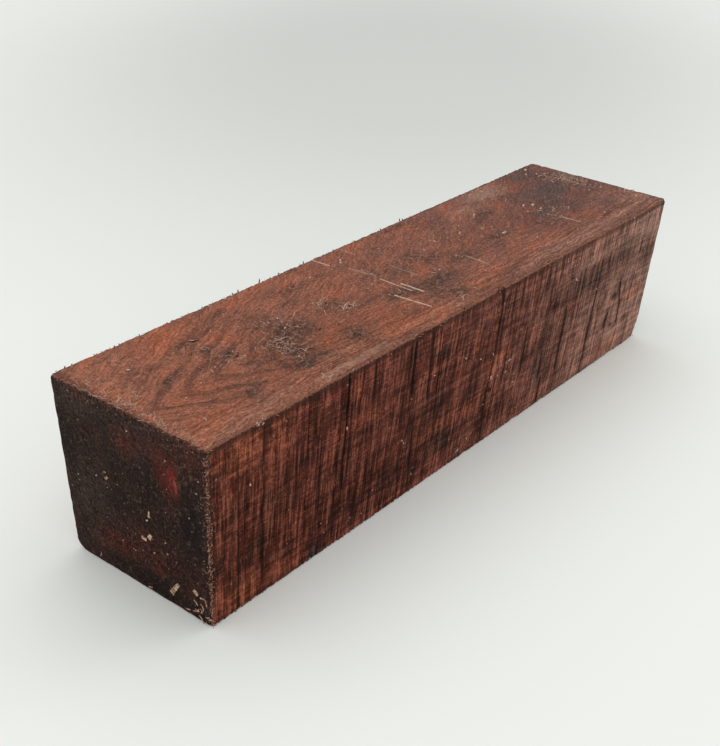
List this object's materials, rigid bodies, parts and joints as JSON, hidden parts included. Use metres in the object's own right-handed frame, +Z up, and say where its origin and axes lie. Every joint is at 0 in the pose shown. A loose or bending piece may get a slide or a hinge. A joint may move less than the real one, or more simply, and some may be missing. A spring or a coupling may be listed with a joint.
{
  "type": "turning blank",
  "caption": "Square rough-sawn block of dark red-brown hardwood with waxed ends, cut as a blank to be turned on a lathe.",
  "frame": {"origin": "middle of the bounding box at the underside, where the blank rests", "axes": "+X along the length from the near end to the far end, +Z up from the underside, -Y out of the side with the strong saw marks"},
  "size_m": [0.3092, 0.077, 0.0767],
  "materials": {
    "rough_sawn_rosewood": "rough-sawn dark red-brown hardwood with saw marks, the ends sealed with dark wax"
  },
  "bodies": {
    "root": {"turning_blank": "rough_sawn_rosewood"}
  },
  "joints": []
}
